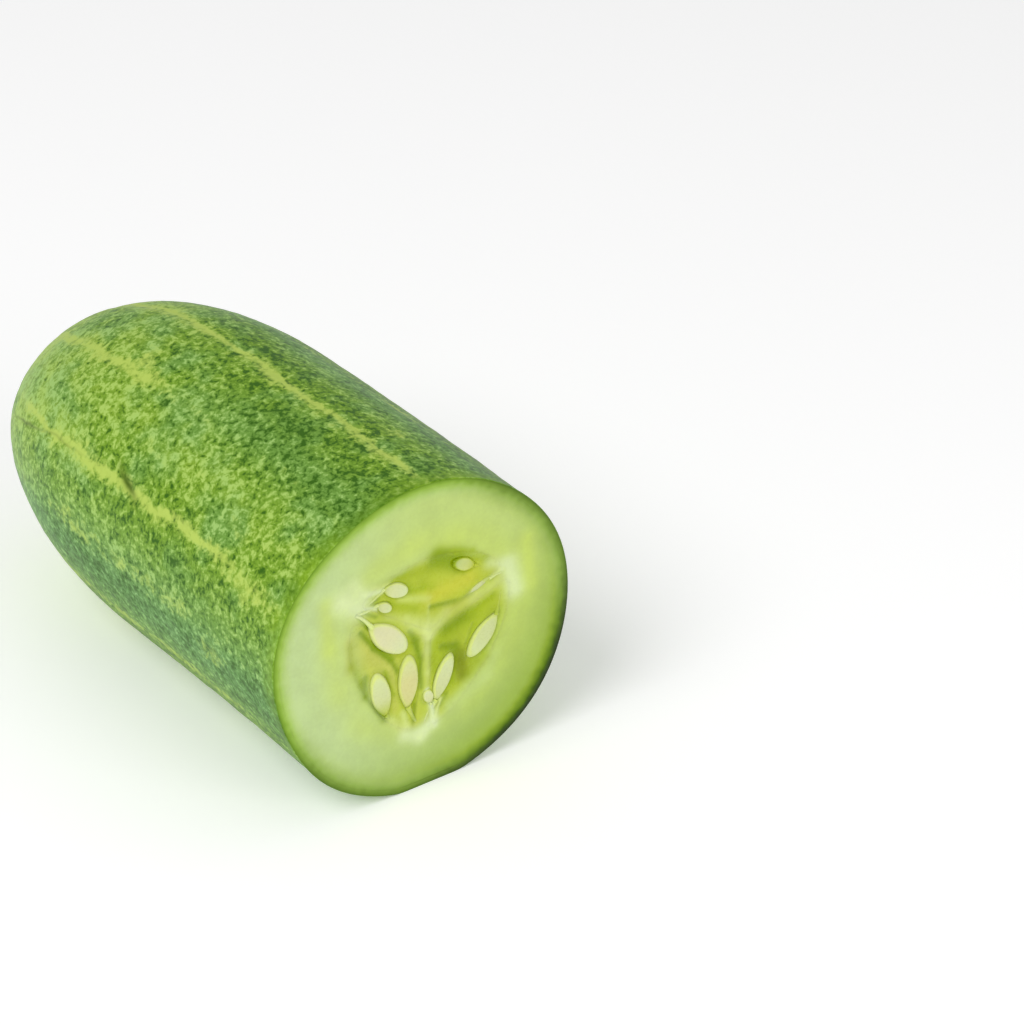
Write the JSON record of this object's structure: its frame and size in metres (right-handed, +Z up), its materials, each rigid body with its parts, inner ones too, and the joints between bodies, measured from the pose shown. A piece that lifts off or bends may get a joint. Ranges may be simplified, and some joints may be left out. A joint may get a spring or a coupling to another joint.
{
  "type": "cut cucumber",
  "caption": "Length of cucumber lying on its side, round at its blossom end and cut square at the other to show flesh, gel and seeds.",
  "frame": {"origin": "on the surface that the cucumber lies on, under the centre of its bounding box", "axes": "+X out of the cut face along the fruit, +Y across it, +Z up"},
  "size_m": [0.1058, 0.0576, 0.056],
  "materials": {
    "skin": "satin, waxy, dark green with light stripes",
    "flesh": "wet, slightly translucent",
    "gel": "wet and translucent",
    "seed": "wet, smooth"
  },
  "bodies": {
    "root": {"skin": "skin", "flesh": "flesh", "gel_top": "gel", "gel_left": "gel", "gel_right": "gel", "seeds_left": "seed", "seeds_right": "seed", "seeds_bottom": "seed"}
  },
  "joints": []
}
